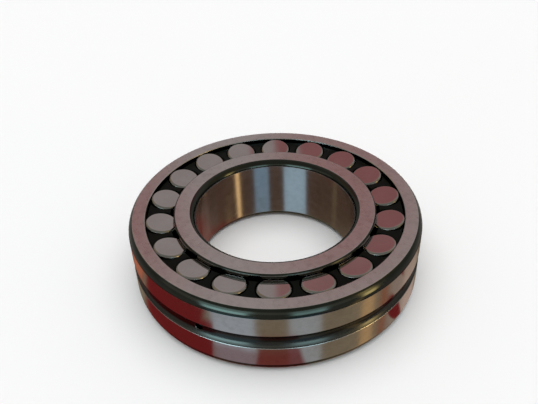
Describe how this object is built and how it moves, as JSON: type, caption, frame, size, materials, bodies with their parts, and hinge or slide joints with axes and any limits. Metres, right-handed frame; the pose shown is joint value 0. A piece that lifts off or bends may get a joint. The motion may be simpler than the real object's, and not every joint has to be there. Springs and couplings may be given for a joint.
{
  "type": "spherical roller bearing",
  "caption": "Double-row spherical roller bearing: two rings, barrel rollers in dark comb cages, a guide ring, and a lubrication groove around the outside.",
  "frame": {"origin": "centre of the bearing, on the bore axis halfway between the two side faces", "axes": "+Z along the bore axis; the bearing lies flat with Z vertical, and the self-aligning swivel is about X"},
  "size_m": [0.11, 0.11, 0.028],
  "materials": {
    "ring_steel": "ground, with polished corners",
    "roller_steel": "ground ends with honed barrels",
    "cage_steel": "black oxide, oiled",
    "guide_iron": "turned"
  },
  "bodies": {
    "outer_ring": {"outer_ring": "ring_steel"},
    "inner_ring": {"inner_ring": "ring_steel"},
    "guide_ring": {"guide_ring": "guide_iron"},
    "upper_cage": {"upper_cage": "cage_steel"},
    "lower_cage": {"lower_cage": "cage_steel"},
    "upper_roller_01": {"upper_roller_01": "roller_steel"},
    "upper_roller_02": {"upper_roller_02": "roller_steel"},
    "upper_roller_03": {"upper_roller_03": "roller_steel"},
    "upper_roller_04": {"upper_roller_04": "roller_steel"},
    "upper_roller_05": {"upper_roller_05": "roller_steel"},
    "upper_roller_06": {"upper_roller_06": "roller_steel"},
    "upper_roller_07": {"upper_roller_07": "roller_steel"},
    "upper_roller_08": {"upper_roller_08": "roller_steel"},
    "upper_roller_09": {"upper_roller_09": "roller_steel"},
    "upper_roller_10": {"upper_roller_10": "roller_steel"},
    "upper_roller_11": {"upper_roller_11": "roller_steel"},
    "upper_roller_12": {"upper_roller_12": "roller_steel"},
    "upper_roller_13": {"upper_roller_13": "roller_steel"},
    "upper_roller_14": {"upper_roller_14": "roller_steel"},
    "upper_roller_15": {"upper_roller_15": "roller_steel"},
    "upper_roller_16": {"upper_roller_16": "roller_steel"},
    "upper_roller_17": {"upper_roller_17": "roller_steel"},
    "upper_roller_18": {"upper_roller_18": "roller_steel"},
    "lower_roller_01": {"lower_roller_01": "roller_steel"},
    "lower_roller_02": {"lower_roller_02": "roller_steel"},
    "lower_roller_03": {"lower_roller_03": "roller_steel"},
    "lower_roller_04": {"lower_roller_04": "roller_steel"},
    "lower_roller_05": {"lower_roller_05": "roller_steel"},
    "lower_roller_06": {"lower_roller_06": "roller_steel"},
    "lower_roller_07": {"lower_roller_07": "roller_steel"},
    "lower_roller_08": {"lower_roller_08": "roller_steel"},
    "lower_roller_09": {"lower_roller_09": "roller_steel"},
    "lower_roller_10": {"lower_roller_10": "roller_steel"},
    "lower_roller_11": {"lower_roller_11": "roller_steel"},
    "lower_roller_12": {"lower_roller_12": "roller_steel"},
    "lower_roller_13": {"lower_roller_13": "roller_steel"},
    "lower_roller_14": {"lower_roller_14": "roller_steel"},
    "lower_roller_15": {"lower_roller_15": "roller_steel"},
    "lower_roller_16": {"lower_roller_16": "roller_steel"},
    "lower_roller_17": {"lower_roller_17": "roller_steel"},
    "lower_roller_18": {"lower_roller_18": "roller_steel"}
  },
  "joints": [
    {"name": "swivel", "type": "hinge", "parent": "outer_ring", "child": "guide_ring", "pos_m": [0, 0, 0], "axis": [1, 0, 0], "range_deg": [-2, 2]},
    {"name": "inner_spin", "type": "hinge", "parent": "guide_ring", "child": "inner_ring", "pos_m": [0, 0, 0], "axis": [0, 0, 1], "continuous": true},
    {"name": "upper_cage_spin", "type": "hinge", "parent": "guide_ring", "child": "upper_cage", "pos_m": [0, 0, 0], "axis": [0, 0, 1], "continuous": true},
    {"name": "lower_cage_spin", "type": "hinge", "parent": "guide_ring", "child": "lower_cage", "pos_m": [0, 0, 0], "axis": [0, 0, 1], "continuous": true},
    {"name": "upper_roller_01_spin", "type": "hinge", "parent": "upper_cage", "child": "upper_roller_01", "pos_m": [-0.00152, -0.04351, 0.00752], "axis": [0.0059, 0.1701, 0.9854], "continuous": true},
    {"name": "upper_roller_02_spin", "type": "hinge", "parent": "upper_cage", "child": "upper_roller_02", "pos_m": [0.01345, -0.0414, 0.00752], "axis": [-0.0526, 0.1619, 0.9854], "continuous": true},
    {"name": "upper_roller_03_spin", "type": "hinge", "parent": "upper_cage", "child": "upper_roller_03", "pos_m": [0.0268, -0.03431, 0.00752], "axis": [-0.1048, 0.1341, 0.9854], "continuous": true},
    {"name": "upper_roller_04_spin", "type": "hinge", "parent": "upper_cage", "child": "upper_roller_04", "pos_m": [0.03692, -0.02307, 0.00752], "axis": [-0.1443, 0.0902, 0.9854], "continuous": true},
    {"name": "upper_roller_05_spin", "type": "hinge", "parent": "upper_cage", "child": "upper_roller_05", "pos_m": [0.04258, -0.00905, 0.00752], "axis": [-0.1665, 0.0354, 0.9854], "continuous": true},
    {"name": "upper_roller_06_spin", "type": "hinge", "parent": "upper_cage", "child": "upper_roller_06", "pos_m": [0.04311, 0.00606, 0.00752], "axis": [-0.1686, -0.0237, 0.9854], "continuous": true},
    {"name": "upper_roller_07_spin", "type": "hinge", "parent": "upper_cage", "child": "upper_roller_07", "pos_m": [0.03844, 0.02044, 0.00752], "axis": [-0.1503, -0.0799, 0.9854], "continuous": true},
    {"name": "upper_roller_08_spin", "type": "hinge", "parent": "upper_cage", "child": "upper_roller_08", "pos_m": [0.02913, 0.03235, 0.00752], "axis": [-0.1139, -0.1265, 0.9854], "continuous": true},
    {"name": "upper_roller_09_spin", "type": "hinge", "parent": "upper_cage", "child": "upper_roller_09", "pos_m": [0.01631, 0.04037, 0.00752], "axis": [-0.0638, -0.1578, 0.9854], "continuous": true},
    {"name": "upper_roller_10_spin", "type": "hinge", "parent": "upper_cage", "child": "upper_roller_10", "pos_m": [0.00152, 0.04351, 0.00752], "axis": [-0.0059, -0.1701, 0.9854], "continuous": true},
    {"name": "upper_roller_11_spin", "type": "hinge", "parent": "upper_cage", "child": "upper_roller_11", "pos_m": [-0.01345, 0.0414, 0.00752], "axis": [0.0526, -0.1619, 0.9854], "continuous": true},
    {"name": "upper_roller_12_spin", "type": "hinge", "parent": "upper_cage", "child": "upper_roller_12", "pos_m": [-0.0268, 0.03431, 0.00752], "axis": [0.1048, -0.1341, 0.9854], "continuous": true},
    {"name": "upper_roller_13_spin", "type": "hinge", "parent": "upper_cage", "child": "upper_roller_13", "pos_m": [-0.03692, 0.02307, 0.00752], "axis": [0.1443, -0.0902, 0.9854], "continuous": true},
    {"name": "upper_roller_14_spin", "type": "hinge", "parent": "upper_cage", "child": "upper_roller_14", "pos_m": [-0.04258, 0.00905, 0.00752], "axis": [0.1665, -0.0354, 0.9854], "continuous": true},
    {"name": "upper_roller_15_spin", "type": "hinge", "parent": "upper_cage", "child": "upper_roller_15", "pos_m": [-0.04311, -0.00606, 0.00752], "axis": [0.1686, 0.0237, 0.9854], "continuous": true},
    {"name": "upper_roller_16_spin", "type": "hinge", "parent": "upper_cage", "child": "upper_roller_16", "pos_m": [-0.03844, -0.02044, 0.00752], "axis": [0.1503, 0.0799, 0.9854], "continuous": true},
    {"name": "upper_roller_17_spin", "type": "hinge", "parent": "upper_cage", "child": "upper_roller_17", "pos_m": [-0.02913, -0.03235, 0.00752], "axis": [0.1139, 0.1265, 0.9854], "continuous": true},
    {"name": "upper_roller_18_spin", "type": "hinge", "parent": "upper_cage", "child": "upper_roller_18", "pos_m": [-0.01631, -0.04037, 0.00752], "axis": [0.0638, 0.1578, 0.9854], "continuous": true},
    {"name": "lower_roller_01_spin", "type": "hinge", "parent": "lower_cage", "child": "lower_roller_01", "pos_m": [0.00606, -0.04311, -0.00752], "axis": [0.0237, -0.1686, 0.9854], "continuous": true},
    {"name": "lower_roller_02_spin", "type": "hinge", "parent": "lower_cage", "child": "lower_roller_02", "pos_m": [0.02044, -0.03844, -0.00752], "axis": [0.0799, -0.1503, 0.9854], "continuous": true},
    {"name": "lower_roller_03_spin", "type": "hinge", "parent": "lower_cage", "child": "lower_roller_03", "pos_m": [0.03235, -0.02913, -0.00752], "axis": [0.1265, -0.1139, 0.9854], "continuous": true},
    {"name": "lower_roller_04_spin", "type": "hinge", "parent": "lower_cage", "child": "lower_roller_04", "pos_m": [0.04037, -0.01631, -0.00752], "axis": [0.1578, -0.0638, 0.9854], "continuous": true},
    {"name": "lower_roller_05_spin", "type": "hinge", "parent": "lower_cage", "child": "lower_roller_05", "pos_m": [0.04351, -0.00152, -0.00752], "axis": [0.1701, -0.0059, 0.9854], "continuous": true},
    {"name": "lower_roller_06_spin", "type": "hinge", "parent": "lower_cage", "child": "lower_roller_06", "pos_m": [0.0414, 0.01345, -0.00752], "axis": [0.1619, 0.0526, 0.9854], "continuous": true},
    {"name": "lower_roller_07_spin", "type": "hinge", "parent": "lower_cage", "child": "lower_roller_07", "pos_m": [0.03431, 0.0268, -0.00752], "axis": [0.1341, 0.1048, 0.9854], "continuous": true},
    {"name": "lower_roller_08_spin", "type": "hinge", "parent": "lower_cage", "child": "lower_roller_08", "pos_m": [0.02307, 0.03692, -0.00752], "axis": [0.0902, 0.1443, 0.9854], "continuous": true},
    {"name": "lower_roller_09_spin", "type": "hinge", "parent": "lower_cage", "child": "lower_roller_09", "pos_m": [0.00905, 0.04258, -0.00752], "axis": [0.0354, 0.1665, 0.9854], "continuous": true},
    {"name": "lower_roller_10_spin", "type": "hinge", "parent": "lower_cage", "child": "lower_roller_10", "pos_m": [-0.00606, 0.04311, -0.00752], "axis": [-0.0237, 0.1686, 0.9854], "continuous": true},
    {"name": "lower_roller_11_spin", "type": "hinge", "parent": "lower_cage", "child": "lower_roller_11", "pos_m": [-0.02044, 0.03844, -0.00752], "axis": [-0.0799, 0.1503, 0.9854], "continuous": true},
    {"name": "lower_roller_12_spin", "type": "hinge", "parent": "lower_cage", "child": "lower_roller_12", "pos_m": [-0.03235, 0.02913, -0.00752], "axis": [-0.1265, 0.1139, 0.9854], "continuous": true},
    {"name": "lower_roller_13_spin", "type": "hinge", "parent": "lower_cage", "child": "lower_roller_13", "pos_m": [-0.04037, 0.01631, -0.00752], "axis": [-0.1578, 0.0638, 0.9854], "continuous": true},
    {"name": "lower_roller_14_spin", "type": "hinge", "parent": "lower_cage", "child": "lower_roller_14", "pos_m": [-0.04351, 0.00152, -0.00752], "axis": [-0.1701, 0.0059, 0.9854], "continuous": true},
    {"name": "lower_roller_15_spin", "type": "hinge", "parent": "lower_cage", "child": "lower_roller_15", "pos_m": [-0.0414, -0.01345, -0.00752], "axis": [-0.1619, -0.0526, 0.9854], "continuous": true},
    {"name": "lower_roller_16_spin", "type": "hinge", "parent": "lower_cage", "child": "lower_roller_16", "pos_m": [-0.03431, -0.0268, -0.00752], "axis": [-0.1341, -0.1048, 0.9854], "continuous": true},
    {"name": "lower_roller_17_spin", "type": "hinge", "parent": "lower_cage", "child": "lower_roller_17", "pos_m": [-0.02307, -0.03692, -0.00752], "axis": [-0.0902, -0.1443, 0.9854], "continuous": true},
    {"name": "lower_roller_18_spin", "type": "hinge", "parent": "lower_cage", "child": "lower_roller_18", "pos_m": [-0.00905, -0.04258, -0.00752], "axis": [-0.0354, -0.1665, 0.9854], "continuous": true}
  ],
  "couplings": [
    {"joint": "upper_cage_spin", "follows": "inner_spin", "ratio": 0.42983},
    {"joint": "lower_cage_spin", "follows": "inner_spin", "ratio": 0.42983},
    {"joint": "upper_roller_01_spin", "follows": "inner_spin", "ratio": -3.4417},
    {"joint": "upper_roller_02_spin", "follows": "inner_spin", "ratio": -3.4417},
    {"joint": "upper_roller_03_spin", "follows": "inner_spin", "ratio": -3.4417},
    {"joint": "upper_roller_04_spin", "follows": "inner_spin", "ratio": -3.4417},
    {"joint": "upper_roller_05_spin", "follows": "inner_spin", "ratio": -3.4417},
    {"joint": "upper_roller_06_spin", "follows": "inner_spin", "ratio": -3.4417},
    {"joint": "upper_roller_07_spin", "follows": "inner_spin", "ratio": -3.4417},
    {"joint": "upper_roller_08_spin", "follows": "inner_spin", "ratio": -3.4417},
    {"joint": "upper_roller_09_spin", "follows": "inner_spin", "ratio": -3.4417},
    {"joint": "upper_roller_10_spin", "follows": "inner_spin", "ratio": -3.4417},
    {"joint": "upper_roller_11_spin", "follows": "inner_spin", "ratio": -3.4417},
    {"joint": "upper_roller_12_spin", "follows": "inner_spin", "ratio": -3.4417},
    {"joint": "upper_roller_13_spin", "follows": "inner_spin", "ratio": -3.4417},
    {"joint": "upper_roller_14_spin", "follows": "inner_spin", "ratio": -3.4417},
    {"joint": "upper_roller_15_spin", "follows": "inner_spin", "ratio": -3.4417},
    {"joint": "upper_roller_16_spin", "follows": "inner_spin", "ratio": -3.4417},
    {"joint": "upper_roller_17_spin", "follows": "inner_spin", "ratio": -3.4417},
    {"joint": "upper_roller_18_spin", "follows": "inner_spin", "ratio": -3.4417},
    {"joint": "lower_roller_01_spin", "follows": "inner_spin", "ratio": -3.4417},
    {"joint": "lower_roller_02_spin", "follows": "inner_spin", "ratio": -3.4417},
    {"joint": "lower_roller_03_spin", "follows": "inner_spin", "ratio": -3.4417},
    {"joint": "lower_roller_04_spin", "follows": "inner_spin", "ratio": -3.4417},
    {"joint": "lower_roller_05_spin", "follows": "inner_spin", "ratio": -3.4417},
    {"joint": "lower_roller_06_spin", "follows": "inner_spin", "ratio": -3.4417},
    {"joint": "lower_roller_07_spin", "follows": "inner_spin", "ratio": -3.4417},
    {"joint": "lower_roller_08_spin", "follows": "inner_spin", "ratio": -3.4417},
    {"joint": "lower_roller_09_spin", "follows": "inner_spin", "ratio": -3.4417},
    {"joint": "lower_roller_10_spin", "follows": "inner_spin", "ratio": -3.4417},
    {"joint": "lower_roller_11_spin", "follows": "inner_spin", "ratio": -3.4417},
    {"joint": "lower_roller_12_spin", "follows": "inner_spin", "ratio": -3.4417},
    {"joint": "lower_roller_13_spin", "follows": "inner_spin", "ratio": -3.4417},
    {"joint": "lower_roller_14_spin", "follows": "inner_spin", "ratio": -3.4417},
    {"joint": "lower_roller_15_spin", "follows": "inner_spin", "ratio": -3.4417},
    {"joint": "lower_roller_16_spin", "follows": "inner_spin", "ratio": -3.4417},
    {"joint": "lower_roller_17_spin", "follows": "inner_spin", "ratio": -3.4417},
    {"joint": "lower_roller_18_spin", "follows": "inner_spin", "ratio": -3.4417}
  ]
}
